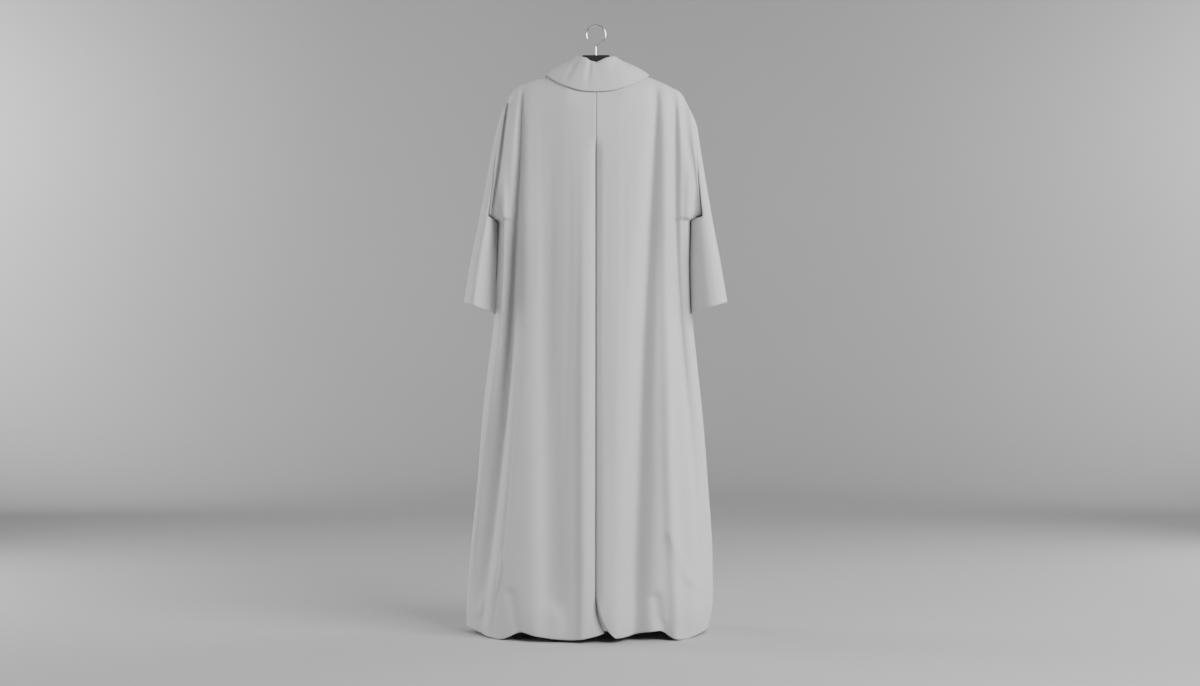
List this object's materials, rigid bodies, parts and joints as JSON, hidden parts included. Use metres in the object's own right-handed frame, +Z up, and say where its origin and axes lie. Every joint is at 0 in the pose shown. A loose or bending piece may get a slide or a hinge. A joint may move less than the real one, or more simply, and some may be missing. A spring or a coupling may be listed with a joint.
{
  "type": "alb robe on a hanger",
  "caption": "Full-length white alb with a wide turned-down collar, wide open sleeves and a pleat down the back, hanging on a black hanger with a wire hook.",
  "frame": {"origin": "the inside of the hook's top, where it rests on a rail", "axes": "+Z up, +Y towards the front of the robe, +X towards the right of someone who looks at the back of the robe"},
  "size_m": [0.6768, 0.3293, 1.5592],
  "materials": {
    "cloth": "matt white plain weave",
    "hanger": "matt black",
    "hook": "bright plated wire"
  },
  "bodies": {
    "root": {"back_left": "cloth", "back_right": "cloth", "pleat_underlay": "cloth", "front_left": "cloth", "front_right": "cloth", "sleeve_left": "cloth", "sleeve_right": "cloth", "collar": "cloth", "hanger": "hanger", "hook": "hook"}
  },
  "joints": []
}
